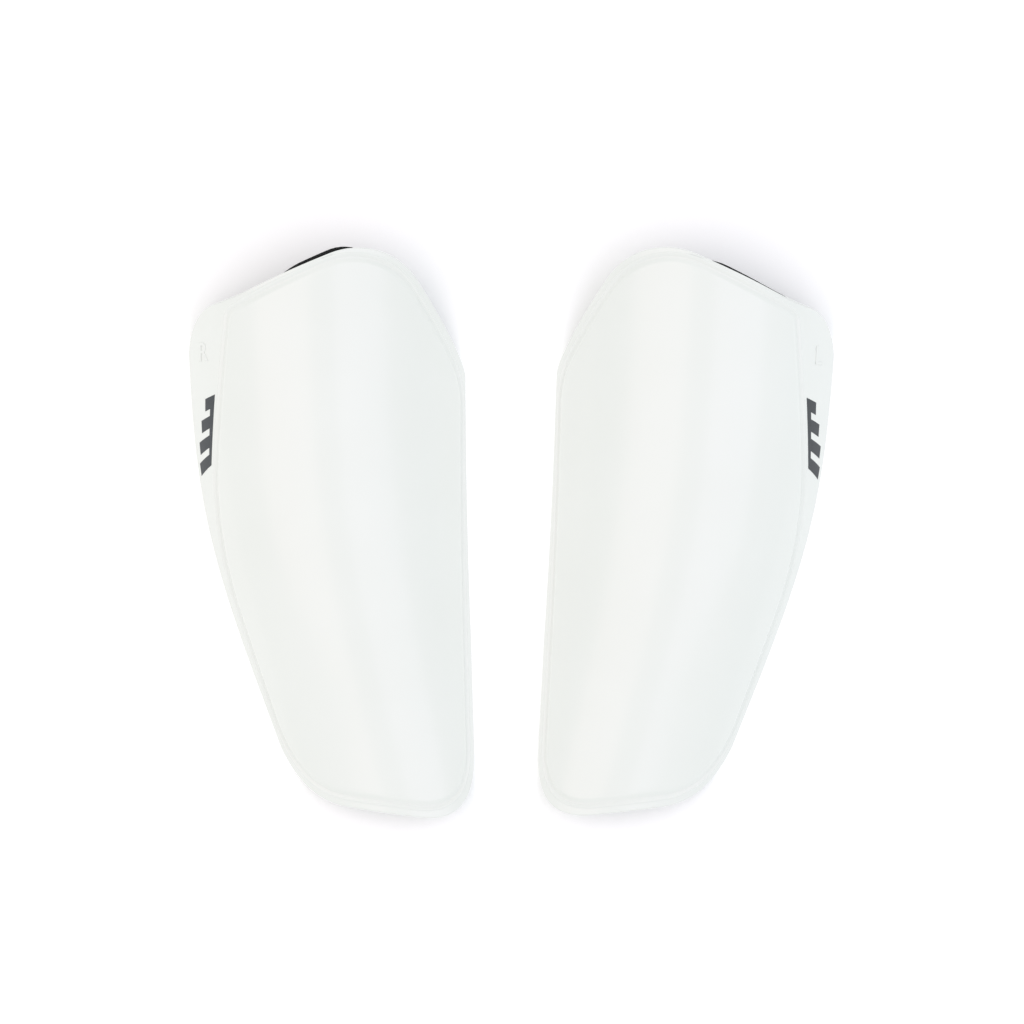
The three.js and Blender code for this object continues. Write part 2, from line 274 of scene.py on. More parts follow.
@dataclass(frozen=True)
class RoundedOutline:
    """A polygon with rounded corners on the flat pattern, clockwise seen from outside."""

    corners: tuple[Corner, ...]
    pull: float = 0.6
    fineness: int = 48

    def sample(self, lattice: Lattice) -> Array:
        """Places the lattice's points along the outline, evenly between its stops.

        Args:
            lattice: How many steps each stretch gets.

        Returns:
            The loop's points, as rows of u and y.
        """
        spots = np.array([[c.u, c.y] for c in self.corners])
        share = np.linspace(0, 1, self.fineness + 1)[:, None]
        pieces, middles, count = [], [], 0
        for index, corner in enumerate(self.corners):
            here, before = spots[index], spots[index - 1]
            after = spots[(index + 1) % len(spots)]
            start = here + corner.cut * (before - here) / np.linalg.norm(before - here)
            end = here + corner.cut * (after - here) / np.linalg.norm(after - here)
            leave, arrive = start + self.pull * (here - start), end + self.pull * (here - end)
            pieces.append(
                (1 - share) ** 3 * start
                + 3 * (1 - share) ** 2 * share * leave
                + 3 * (1 - share) * share**2 * arrive
                + share**3 * end
            )
            if corner.stop:
                middles.append(count + self.fineness // 2)
            count += len(share)
        path = np.vstack([*pieces, pieces[0][:1]])
        along = np.concatenate([[0], np.cumsum(np.linalg.norm(np.diff(path, axis=0), axis=1))])
        total = along[-1]
        stops = [along[m] for m in middles]
        stops.append(stops[0] + total)
        places = np.concatenate(
            [
                np.linspace(a, b, steps, endpoint=False)
                for a, b, steps in zip(stops, stops[1:], lattice.steps)
            ]
        )
        places = places % total
        return np.column_stack([np.interp(places, along, path[:, k]) for k in range(2)])


def shift_inwards(loop: Array, distance: Array) -> Array:
    """Moves a clockwise loop's points square to it, inwards where the distance is positive."""
    heading = np.roll(loop, -1, axis=0) - np.roll(loop, 1, axis=0)
    heading /= np.linalg.norm(heading, axis=1)[:, None]
    inwards = np.column_stack([heading[:, 1], -heading[:, 0]])
    return loop + inwards * np.reshape(distance, (-1, 1))


@dataclass(frozen=True)
class Pattern:
    """The flat pattern of a guard: its outline, its raised panel and the core inside both."""

    arch: Arch = Arch()
    outline: RoundedOutline = RoundedOutline(
        (
            Corner(-67, 81, 21),
            Corner(-37, 86.5, 9, stop=False),
            Corner(21.3, 110.4, 22.2),
            Corner(64.6, 57, 10),
            Corner(60.5, -109.5, 27),
            Corner(-22, -98.5, 28),
            Corner(-64.5, 13, 14),
        )
    )
    panel: RoundedOutline = RoundedOutline(
        (
            Corner(-40.2, 81.3, 2.5),
            Corner(19.1, 107.6, 23),
            Corner(59.2, 56, 9),
            Corner(56.2, -104.8, 24),
            Corner(-19, -94.6, 25),
            Corner(-51.5, -2, 28),
        )
    )
    core: RoundedOutline = RoundedOutline(
        (
            Corner(-33, 72, 6),
            Corner(18.3, 96.5, 20),
            Corner(47.5, 52, 12),
            Corner(45, -93.5, 18),
            Corner(-11.5, -84.5, 20),
            Corner(-42.5, -2, 26),
        )
    )

    def edge(self, lattice: Lattice) -> Array:
        """The guard's edge, cut off where it stands on the ground."""
        return self.arch.trim(self.outline.sample(lattice))

    def panel_line(self, y: Array) -> Array:
        """Where the panel's line beside the wing lies at the heights y."""
        steps = 60
        sides = len(self.panel.corners)
        loop = self.panel.sample(Lattice((steps,) * sides))
        wing = np.vstack([loop[steps * (sides - 1) :], loop[:1]])
        return np.interp(y, wing[:, 1], wing[:, 0])

    def wing_edge(self, y: Array) -> Array:
        """Where the wing's outer edge meets the ground at the heights y."""
        section = self.arch.section(y)
        return section.middle - section.flat_span()


# ---------------------------------------------------------------------------------------------------
# Meshes
# ---------------------------------------------------------------------------------------------------


@dataclass
class Sheet:
    """One face of a plate: a core grid with loops round it, from the core outwards."""

    lattice: Lattice
    loops: list[Array]

    def flat(self) -> Array:
        """All of the face's points on the flat pattern: the loops, then the core's inner points."""
        return np.vstack([*self.loops, self._core_points()])

    def _core_points(self) -> Array:
        """The points inside the core loop, as a Coons patch over its four sides."""
        columns, rows, core = self.lattice.across, self.lattice.along, self.loops[0]
        s = (np.arange(columns + 1) / columns)[:, None, None]
        t = (np.arange(rows + 1) / rows)[None, :, None]
        edge = core[self._border()]
        knee, ankle = edge[:, 0][:, None], edge[:, -1][:, None]
        outer, inner = edge[0][None], edge[-1][None]
        sides = (1 - t) * knee + t * ankle + (1 - s) * outer + s * inner
        twice = (1 - t) * ((1 - s) * edge[0, 0] + s * edge[-1, 0]) + t * (
            (1 - s) * edge[0, -1] + s * edge[-1, -1]
        )
        return (sides - twice)[1:-1, 1:-1].reshape(-1, 2)

    def _border(self) -> Array:
        """For each point of the core grid's border, its index in the core loop."""
        columns, rows, ring = self.lattice.across, self.lattice.along, self.lattice.ring
        grid = np.zeros((columns + 1, rows + 1), int)
        grid[:, 0] = np.arange(columns + 1)
        grid[-1, :] = columns + np.arange(rows + 1)
        grid[:, -1] = 2 * columns + rows - np.arange(columns + 1)
        grid[0, :] = (ring - np.arange(rows + 1)) % ring
        return grid

    def core_grid(self) -> Array:
        """The indices of the core grid's points in flat()."""
        columns, rows = self.lattice.across, self.lattice.along
        grid = self._border()
        first = len(self.loops) * self.lattice.ring
        inner = np.arange((columns - 1) * (rows - 1)).reshape(columns - 1, rows - 1)
        grid[1:-1, 1:-1] = first + inner
        return grid

    def faces(self) -> Array:
        """The face's quads, counter-clockwise seen from outside."""
        ring = self.lattice.ring
        here = np.arange(ring)
        nxt = (here + 1) % ring
        strips = [
            np.column_stack([here, nxt, nxt + ring, here + ring]) + k * ring
            for k in range(len(self.loops) - 1)
        ]
        g = self.core_grid()
        core = np.stack([g[:-1, :-1], g[:-1, 1:], g[1:, 1:], g[1:, :-1]], axis=-1)
        return np.vstack([*strips, core.reshape(-1, 4)])


def add_object(name: str, data: bpy.types.ID | None) -> bpy.types.Object:
    """Puts an object that holds this data into the scene."""
    made = bpy.data.objects.new(name, data)
    bpy.context.scene.collection.objects.link(made)
    return made


def baked(carrier: bpy.types.Object) -> bpy.types.Mesh:
    """An object's shape with its modifiers applied, as a plain mesh."""
    graph = bpy.context.evaluated_depsgraph_get()
    return bpy.data.meshes.new_from_object(carrier.evaluated_get(graph))


def mesh_points(mesh: bpy.types.Mesh) -> Array:
    """The points of a mesh, as rows."""
    points = np.empty(len(mesh.vertices) * 3)
    mesh.vertices.foreach_get("co", points)
    return points.reshape(-1, 3)


def move_points(mesh: bpy.types.Mesh, points: Array) -> None:
    """Gives a mesh's vertices new places."""
    mesh.vertices.foreach_set("co", points.astype(np.float32).ravel())


@dataclass
class Solid:
    """A closed mesh on the flat pattern: points, depths and quads."""

    flat: Array
    depth: Array
    faces: Array


def plate(outer: Sheet, outer_depth: Array, rim: list[tuple[Array, Array]],
          inner: Sheet, inner_depth: Array) -> Solid:
    """Joins two faces into a closed plate.

    Args:
        outer: The outer face.
        outer_depth: The depths of its points.
        rim: The loops between the two faces' last loops, each with its depths.
        inner: The inner face, on the same lattice.
        inner_depth: The depths of its points.

    Returns:
        The closed solid.
    """
    ring = outer.lattice.ring
    outer_flat, inner_flat = outer.flat(), inner.flat()
    rim_flat = [loop for loop, _ in rim]
    rim_depth = [np.broadcast_to(depth, ring) for _, depth in rim]
    flat = np.vstack([outer_flat, *rim_flat, inner_flat])
    depth = np.concatenate([outer_depth, *rim_depth, inner_depth])
    inner_start = len(outer_flat) + ring * len(rim)
    starts = [ring * (len(outer.loops) - 1)]
    starts += [len(outer_flat) + ring * k for k in range(len(rim))]
    starts.append(inner_start + ring * (len(inner.loops) - 1))
    here = np.arange(ring)
    nxt = (here + 1) % ring
    strips = [
        np.column_stack([a + here, a + nxt, b + nxt, b + here])
        for a, b in zip(starts, starts[1:])
    ]
    faces = np.vstack([outer.faces(), *strips, inner.faces()[:, ::-1] + inner_start])
    return Solid(flat, depth, faces)


@dataclass
class Bench:
    """Turns flat drawings into Blender objects for one guard, in the frame's place for it."""

    side: Side
    pattern: Pattern
    offset: Array = field(init=False)

    def __post_init__(self) -> None:
        """Lines the drawing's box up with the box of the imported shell."""
        low, high = (np.array(corner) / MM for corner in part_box(f"{self.side.label}_shell"))
        edge = self.pattern.edge(Lattice((90, 70, 100, 160, 50, 50)))
        drawn = self.aim(self.pattern.arch.bend(edge, 0.0))
        middle = (drawn.min(0) + drawn.max(0)) / 2
        self.offset = (low + high) / 2 - middle
        self.offset[2] = 0.0

    def aim(self, vectors: Array) -> Array:
        """Mirrors vectors of the drawing where the guard is the left one, and turns them as it lies."""
        cosine, sine = math.cos(self.side.turn), math.sin(self.side.turn)
        turned = np.array([[cosine, sine, 0], [-sine, cosine, 0], [0, 0, 1]])
        return (vectors * np.array([self.side.value, 1, 1])) @ turned

    def place(self, points: Array) -> Array:
        """Takes points from the drawing's space, in millimetres, to the frame, in metres."""
        return (self.aim(points) + self.offset) * MM

    def make(self, name: str, flat: Array, depth: Array, faces: Array) -> bpy.types.Object:
        """Makes a mesh object from a drawing.

        Args:
            name: The piece's name.
            flat: Its points on the flat pattern.
            depth: Their depths below the outer face.
            faces: Faces, counter-clockwise seen from outside on the right guard.

        Returns:
            The object, with the flat pattern as its UV map, in metres.
        """
        points = self.place(self.pattern.arch.bend(flat, depth))
        turned = faces if self.side is Side.RIGHT else faces[:, ::-1]
        mesh = bpy.data.meshes.new(name)
        mesh.from_pydata(points.tolist(), [], turned.tolist())
        mesh.polygons.foreach_set("use_smooth", np.ones(len(mesh.polygons), bool))
        corners = np.empty(len(mesh.loops), int)
        mesh.loops.foreach_get("vertex_index", corners)
        layer = mesh.uv_layers.new(name="pattern")
        layer.data.foreach_set("uv", (flat[corners] * MM).astype(np.float32).ravel())
        mesh.update()
        return add_object(name, mesh)

    def finish(self, piece: bpy.types.Object, material: bpy.types.Material, slot: str,
               *nodes: str) -> bpy.types.Object:
        """Dresses a piece and fixes it to the guard.

        Args:
            piece: The piece.
            material: Its finish.
            slot: The record's material slot. It is not used.
            nodes: The endings of the names of the CAD nodes that it stands for.

        Returns:
            The same piece.
        """
        if not piece.data.materials:
            piece.data.materials.append(material)
        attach(piece, self.side.body)
        if nodes:
            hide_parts(*(f"{self.side.label}_{node}" for node in nodes))
        LOG.info("%s: %d faces", piece.name, len(piece.data.polygons))
        return piece


# ---------------------------------------------------------------------------------------------------
# Node helpers and finishes
# ---------------------------------------------------------------------------------------------------


def linear(code: str) -> tuple[float, float, float, float]:
    """Turns an sRGB hex colour such as #20A0FF into linear RGBA."""
    parts = [int(code[k : k + 2], 16) / 255 for k in (1, 3, 5)]
    red, green, blue = (p / 12.92 if p <= 0.04045 else ((p + 0.055) / 1.055) ** 2.4 for p in parts)
    return red, green, blue, 1.0


def add_node(tree: bpy.types.NodeTree, kind: str, inputs: dict | None = None,
             **settings: object) -> bpy.types.Node:
    """Adds a node with its settings and links.

    Args:
        tree: The tree that gets it.
        kind: The node's type.
        inputs: For a socket's name or number, a value for it or the output that feeds it.
        settings: The node's own properties.

    Returns:
        The new node.
    """
    node = tree.nodes.new(kind)
    for name, value in settings.items():
        setattr(node, name, value)
    for key, value in (inputs or {}).items():
        if isinstance(value, bpy.types.NodeSocket):
            tree.links.new(value, node.inputs[key])
        else:
            node.inputs[key].default_value = value
    return node


def per_metre(size_mm: float) -> float:
    """The texture scale whose pattern repeats about every size_mm."""
    return 1.0 / (size_mm * MM)


def new_material(name: str, inputs: dict) -> tuple[bpy.types.Material, bpy.types.Node]:
    """Makes a material of one Principled shader, and returns both."""
    material = bpy.data.materials.new(name)
    material.use_nodes = True
    tree = material.node_tree
    tree.nodes.clear()
    shader = add_node(tree, "ShaderNodeBsdfPrincipled", inputs)
    add_node(tree, "ShaderNodeOutputMaterial", {"Surface": shader.outputs["BSDF"]})
    return material, shader


def dress(tree: bpy.types.NodeTree, shader: bpy.types.Node, pattern: bpy.types.NodeSocket,
          tones: tuple[str, str],
          relief: tuple[bpy.types.NodeSocket, float, float] | None = None) -> None:
    """Colours a shader between two tones by a pattern, and gives it relief.

    Args:
        tree: The material's tree.
        shader: Its shader.
        pattern: Goes from 0 at the first tone to 1 at the second.
        tones: The two colours, in hex.
        relief: The height pattern, its real height in millimetres and its strength.
    """
    tone = add_node(
        tree, "ShaderNodeMix",
        {"Factor": pattern, "A": linear(tones[0]), "B": linear(tones[1])},
        data_type="RGBA",
    )
    tree.links.new(tone.outputs["Result"], shader.inputs["Base Color"])
    if relief:
        height, size_mm, strength = relief
        bump = add_node(
            tree, "ShaderNodeBump",
            {"Height": height, "Distance": size_mm * MM, "Strength": strength},
        )
        tree.links.new(bump.outputs["Normal"], shader.inputs["Normal"])


@dataclass(frozen=True)
class MouldedPolypropylene:
    """White polypropylene, injection-moulded in a polished tool: clean, semi-gloss, softly lit edges."""

    colour: str = "#F0F3EF"
    shade: str = "#ECEFEA"
    roughness: float = 0.2
    gloss_drop: float = 0.03
    gloss_rise: float = 0.05
    ior: float = 1.49
    cloud_mm: float = 34.0
    ripple_mm: float = 7.0
    ripple_height_mm: float = 0.006
    grain_mm: float = 0.5

    def build(self) -> bpy.types.Material:
        """Makes the material."""
        material, shader = new_material("moulded_polypropylene", {"IOR": self.ior})
        tree = material.node_tree
        place = add_node(tree, "ShaderNodeTexCoord").outputs["Object"]
        # Slow drifts of tone, as pigment and wall thickness vary.
        cloud = add_node(
            tree, "ShaderNodeTexNoise",
            {"Vector": place, "Scale": per_metre(self.cloud_mm), "Detail": 2.0},
        )
        # The tool's grain scatters the gloss a little unevenly.
        grain = add_node(
            tree, "ShaderNodeTexNoise",
            {"Vector": place, "Scale": per_metre(self.grain_mm), "Detail": 3.0},
        )
        gloss = add_node(
            tree, "ShaderNodeMapRange",
            {
                "Value": grain.outputs["Fac"],
                "To Min": self.roughness - self.gloss_drop,
                "To Max": self.roughness + self.gloss_rise,
            },
        )
        tree.links.new(gloss.outputs["Result"], shader.inputs["Roughness"])
        # Shrinkage leaves a faint ripple, which only shows in the edges of reflections.
        ripple = add_node(
            tree, "ShaderNodeTexNoise",
            {"Vector": place, "Scale": per_metre(self.ripple_mm), "Detail": 1.0},
        )
        relief = (ripple.outputs["Fac"], self.ripple_height_mm, 1.0)
        dress(tree, shader, cloud.outputs["Fac"], (self.colour, self.shade), relief)
        return material


@dataclass(frozen=True)
class EvaFoam:
    """Black closed-cell EVA foam, hot-pressed and die-cut: dull, with open pores where it is cut."""

    colour: str = "#1A1B1C"
    # Painted shade: the cells' pits are coloured darker than the foam, as the shade that falls in them.
    pore: str = "#0C0D0D"
    roughness: float = 0.82
    # Real cells are about 0.2 mm across; they are drawn coarser so that they show.
    cell_mm: float = 0.7
    cell_depth_mm: float = 0.12

    def build(self) -> bpy.types.Material:
        """Makes the material."""
        material, shader = new_material(
            "eva_foam", {"Roughness": self.roughness, "IOR": 1.48, "Specular IOR Level": 0.35}
        )
        tree = material.node_tree
        place = add_node(tree, "ShaderNodeTexCoord").outputs["Object"]
        cells = add_node(
            tree, "ShaderNodeTexVoronoi", {"Vector": place, "Scale": per_metre(self.cell_mm)}
        )
        apart = cells.outputs["Distance"]
        # The colour darkens towards each cell's middle, where the relief sinks into a pit: painted shade
        # in the pits.
        dress(tree, shader, apart, (self.pore, self.colour), (apart, self.cell_depth_mm, 0.7))
        return material


@dataclass(frozen=True)
class KnitLining:
    """Black warp-knit polyester bonded to the foam: fine upright chains of loops with a soft sheen."""

    yarn: str = "#2A2C2F"
    # Painted shade: the hollows between the loops are coloured darker than the yarn, as the shade that
    # falls in them.
    hollow: str = "#0E0F10"
    roughness: float = 0.9
    # A real lining has about 1 mm between chains; it is drawn a little coarser so that it shows.
    chain_mm: float = 1.5
    loop_mm: float = 1.2
    loop_slant: float = 0.6
    yarn_height_mm: float = 0.22

    def build(self) -> bpy.types.Material:
        """Makes the material."""
        material, shader = new_material(
            "knit_lining",
            {
                "Roughness": self.roughness,
                "Sheen Weight": 0.35,
                "Sheen Roughness": 0.45,
                "Specular IOR Level": 0.3,
            },
        )
        tree = material.node_tree

        layer = add_node(tree, "ShaderNodeUVMap", uv_map="pattern")
        axes = add_node(tree, "ShaderNodeSeparateXYZ", {"Vector": layer.outputs["UV"]})
        # Each row names a value, and says which operation makes it from which earlier values.
        rows = (
            ("chains", "MULTIPLY", "across", per_metre(self.chain_mm)),
            ("chain", "FRACT", "chains", 0.0),
            ("off_middle", "SUBTRACT", "chain", 0.5),
            ("half_aside", "ABSOLUTE", "off_middle", 0.0),
            ("aside", "MULTIPLY", "half_aside", 2.0),
            ("climb", "MULTIPLY", "along", per_metre(self.loop_mm)),
            ("slant", "MULTIPLY", "aside", self.loop_slant),
            ("stepped", "ADD", "climb", "slant"),
            ("loop", "FRACT", "stepped", 0.0),
            ("turned", "MULTIPLY", "loop", math.pi),
            ("crown", "SINE", "turned", 0.0),
            ("edge", "POWER", "aside", 3.0),
            ("fall", "SUBTRACT", 1.0, "edge"),
            ("yarn", "MULTIPLY", "crown", "fall"),
        )
        values = {"across": axes.outputs["X"], "along": axes.outputs["Y"]}
        for name, operation, *terms in rows:
            inputs = {k: values.get(term, term) for k, term in enumerate(terms)}
            worked = add_node(tree, "ShaderNodeMath", inputs, operation=operation)
            values[name] = worked.outputs["Value"]
        yarn = values["yarn"]
        # The colour darkens where the yarn's height falls between the loops: painted shade in the
        # hollows.
        dress(tree, shader, yarn, (self.hollow, self.yarn), (yarn, self.yarn_height_mm, 0.8))
        return material


@dataclass(frozen=True)
class AdhesiveFilm:
    """Acrylic adhesive film, coated on clear carrier: pale amber and slightly shiny."""

    colour: str = "#DCD3B4"
    streak: str = "#CFC5A2"
    roughness: float = 0.4
    streak_mm: float = 3.0

    def build(self) -> bpy.types.Material:
        """Makes the material."""
        material, shader = new_material("adhesive_film", {"Roughness": self.roughness, "IOR": 1.47})
        tree = material.node_tree
        place = add_node(tree, "ShaderNodeTexCoord").outputs["Object"]
        streaks = add_node(
            tree, "ShaderNodeTexNoise", {"Vector": place, "Scale": per_metre(self.streak_mm)}
        )
        dress(tree, shader, streaks.outputs["Fac"], (self.colour, self.streak))
        return material


@dataclass(frozen=True)
class TransferPrint:
    """Dark grey heat-transfer ink: thin, flat and satin, with a trace of the film's grain."""

    colour: str = "#34383B"
    worn: str = "#41464A"
    roughness: float = 0.42
    grain_mm: float = 0.6

    def build(self) -> bpy.types.Material:
        """Makes the material."""
        material, shader = new_material("transfer_print", {"Roughness": self.roughness, "IOR": 1.5})
        tree = material.node_tree
        place = add_node(tree, "ShaderNodeTexCoord").outputs["Object"]
        grain = add_node(
            tree, "ShaderNodeTexNoise", {"Vector": place, "Scale": per_metre(self.grain_mm)}
        )
        dress(tree, shader, grain.outputs["Fac"], (self.colour, self.worn))
        return material


@dataclass(frozen=True)
class Finishes:
    """The built materials of the pair."""

    shell: bpy.types.Material
    foam: bpy.types.Material
    lining: bpy.types.Material
    adhesive: bpy.types.Material
    ink: bpy.types.Material

    @classmethod
    def build(cls) -> "Finishes":
        """Makes all of them."""
        return cls(
            shell=MouldedPolypropylene().build(),
            foam=EvaFoam().build(),
            lining=KnitLining().build(),
            adhesive=AdhesiveFilm().build(),
            ink=TransferPrint().build(),
        )


# ---------------------------------------------------------------------------------------------------
# Geometry Nodes
# ---------------------------------------------------------------------------------------------------


class NodeRecipe:
    """A Geometry Nodes tree with named inputs, which is run once and leaves a plain mesh."""

    def __init__(self, name: str) -> None:
        """Starts an empty tree with a geometry input and output."""
        self.tree = bpy.data.node_groups.new(name, "GeometryNodeTree")
        self.keys: dict[str, str] = {}
        self.tree.interface.new_socket("Geometry", in_out="INPUT", socket_type="NodeSocketGeometry")
        self.tree.interface.new_socket("Geometry", in_out="OUTPUT", socket_type="NodeSocketGeometry")
        self.start = self.tree.nodes.new("NodeGroupInput")

    def size(self, name: str, whole: bool = False) -> bpy.types.NodeSocket:
        """Adds a named number as an input, and returns the socket that gives it."""
        kind = "NodeSocketInt" if whole else "NodeSocketFloat"
        socket = self.tree.interface.new_socket(name, in_out="INPUT", socket_type=kind)
        self.keys[name] = socket.identifier
        return self.start.outputs[name]

    def add(self, kind: str, inputs: dict | None = None, **settings: object) -> bpy.types.Node:
        """Adds a node to the tree."""
        return add_node(self.tree, kind, inputs, **settings)

    def end(self, geometry: bpy.types.NodeSocket, material: bpy.types.Material) -> None:
        """Closes the tree with Realize Instances and Set Material."""
        real = self.add("GeometryNodeRealizeInstances", {"Geometry": geometry})
        dressed = self.add(
            "GeometryNodeSetMaterial", {"Geometry": real.outputs["Geometry"], "Material": material}
        )
        self.add("NodeGroupOutput", {"Geometry": dressed.outputs["Geometry"]})

    def run(self, seeds: bpy.types.Mesh, values: dict[str, float]) -> bpy.types.Mesh:
        """Runs the tree on a mesh.

        Args:
            seeds: The mesh that goes in.
            values: A value for each named input.

        Returns:
            The result as a plain mesh.
        """
        carrier = add_object(self.tree.name, seeds)
        modifier = carrier.modifiers.new("recipe", "NODES")
        modifier.node_group = self.tree
        for name, value in values.items():
            modifier[self.keys[name]] = value
        result = baked(carrier)
        bpy.data.objects.remove(carrier)
        return result


def place_drawing(bench: Bench, mesh: bpy.types.Mesh, name: str,
                  depth_at: Callable[[Array], Array]) -> bpy.types.Object:
    """Bends a flat mesh, drawn in millimetres with its height in z, onto a guard.

    Args:
        bench: The guard's bench.
        mesh: The drawing.
        name: The new piece's name.
        depth_at: Gives the depth of the surface that the drawing lies on, from flat points.

    Returns:
        The new object.
    """
    points = mesh_points(mesh)
    flat = points[:, :2]
    bent = bench.place(bench.pattern.arch.bend(flat, depth_at(flat) - points[:, 2]))
    move_points(mesh, bent)
    if bench.side is Side.LEFT:
        mesh.flip_normals()
    mesh.update()
    mesh.name = name
    return add_object(name, mesh)


# ---------------------------------------------------------------------------------------------------
# The pieces of a guard
# ---------------------------------------------------------------------------------------------------


@dataclass
class MouldedShell:
    """The shell: a bent plate with a flat rim, a bead, a groove, a raised panel and a plain wing."""

    lattice: Lattice = Lattice((84, 64, 110, 148, 60, 50))
    thickness: float = 2.4
    edge_round: float = 0.6
    panel_rise: float = 0.45
    shoulder: float = 2.4
    groove: float = 0.3
    groove_side: float = 0.55
    bead_rise: float = 0.28
    bead_width: float = 1.25
    wing_rows: int = 9
    core_rows: int = 5

    def relief(self, outwards: Array) -> Array:
        """The outer face's depth, by distance outwards from the panel's line."""
        rise = self.panel_rise + self.groove
        shoulder = -self.panel_rise + rise * ease(1 + outwards / self.shoulder)
        groove = self.groove * (1 - ease(outwards / self.groove_side))
        along = np.clip((outwards - self.groove_side) / self.bead_width, 0, 1)
        bead = -self.bead_rise * np.sin(math.pi * along) ** 2
        return np.where(outwards < 0, shoulder, groove + bead)

    def outer_face(self, pattern: Pattern) -> tuple[Sheet, Array]:
        """Draws the outer face, up to where its edge starts to round."""
        edge = pattern.edge(self.lattice)
        panel = pattern.panel.sample(self.lattice)
        core = pattern.core.sample(self.lattice)
        steps = np.concatenate(
            [
                np.linspace(-self.shoulder, 0, 11),
                np.linspace(0, self.groove_side, 5)[1:],
                self.groove_side + np.linspace(0, self.bead_width, 9)[1:],
            ]
        )
        shoulder_top = shift_inwards(panel, self.shoulder)
        bead_foot = shift_inwards(panel, -steps[-1])
        rim = shift_inwards(edge, self.edge_round)
        inside = [
            core + (shoulder_top - core) * k / self.core_rows for k in range(self.core_rows)
        ]
        profile = [shift_inwards(panel, -step) for step in steps]
        wing = [
            bead_foot + (rim - bead_foot) * k / self.wing_rows
            for k in range(1, self.wing_rows + 1)
        ]
        sheet = Sheet(self.lattice, inside + profile + wing)
        ring = self.lattice.ring
        depth = np.full(len(sheet.flat()), -self.panel_rise)
        start = ring * len(inside)
        depth[start : start + ring * len(steps)] = np.repeat(self.relief(steps), ring)
        start += ring * len(steps)
        depth[start : start + ring * len(wing)] = 0.0
        return sheet, depth

    def build(self, bench: Bench, finish: bpy.types.Material) -> bpy.types.Object:
        """Builds the shell."""
        pattern = bench.pattern
        outer, outer_depth = self.outer_face(pattern)
        edge = pattern.edge(self.lattice)
        core = pattern.core.sample(self.lattice)
        inner_rim = shift_inwards(edge, self.edge_round)
        inner = Sheet(self.lattice, [core + (inner_rim - core) * k / 6 for k in range(7)])
        turns = np.radians([15, 30, 45, 60, 75, 90])
        rim = [
            (shift_inwards(edge, self.edge_round * (1 - math.sin(a))),
             self.edge_round * (1 - math.cos(a)))
            for a in turns
        ]
        rim += [
            (shift_inwards(edge, self.edge_round * (1 - math.cos(a))),
             self.thickness - self.edge_round * (1 - math.sin(a)))
            for a in [0.0, *turns[:-1]]
        ]
        inner_depth = np.full(len(inner.flat()), self.thickness)
        solid = plate(outer, outer_depth, rim, inner, inner_depth)
        name = f"{bench.side.label}_moulded_shell"
        piece = bench.make(name, solid.flat, solid.depth, solid.faces)
        return bench.finish(piece, finish, "shell", "shell")


@dataclass
class WingLetter:
    """The raised R or L on the wing, moulded with the shell."""

    u: float = -53.7
    y: float = 67.0
    height: float = 7.0
    rise: float = 0.3
    root: float = 0.5
    bevel: float = 0.12
    capital_share: float = 0.72  # of the type size that a capital takes up

    def build(self, bench: Bench, finish: bpy.types.Material) -> bpy.types.Object:
        """Builds the letter."""
        name = f"{bench.side.label}_wing_letter"
        text = bpy.data.curves.new(name, "FONT")
        text.body = bench.side.letter
        text.size = self.height / self.capital_share
        text.align_x = "CENTER"
        text.align_y = "CENTER"
        text.extrude = (self.rise + self.root) / 2 - self.bevel
        text.bevel_depth = self.bevel
        text.bevel_resolution = 2
        text.resolution_u = 5
        carrier = add_object(name, text)
        mesh = baked(carrier)
        bpy.data.objects.remove(carrier)
        points = mesh_points(mesh)
        middle = (points.min(0) + points.max(0)) / 2
        points -= middle
        points[:, 0] *= bench.side.value
        points += [self.u, self.y, (self.rise - self.root) / 2]
        move_points(mesh, points)
        if bench.side is Side.LEFT:
            mesh.flip_normals()
        piece = place_drawing(bench, mesh, name, lambda flat: np.zeros(len(flat)))
        return bench.finish(piece, finish, "shell")


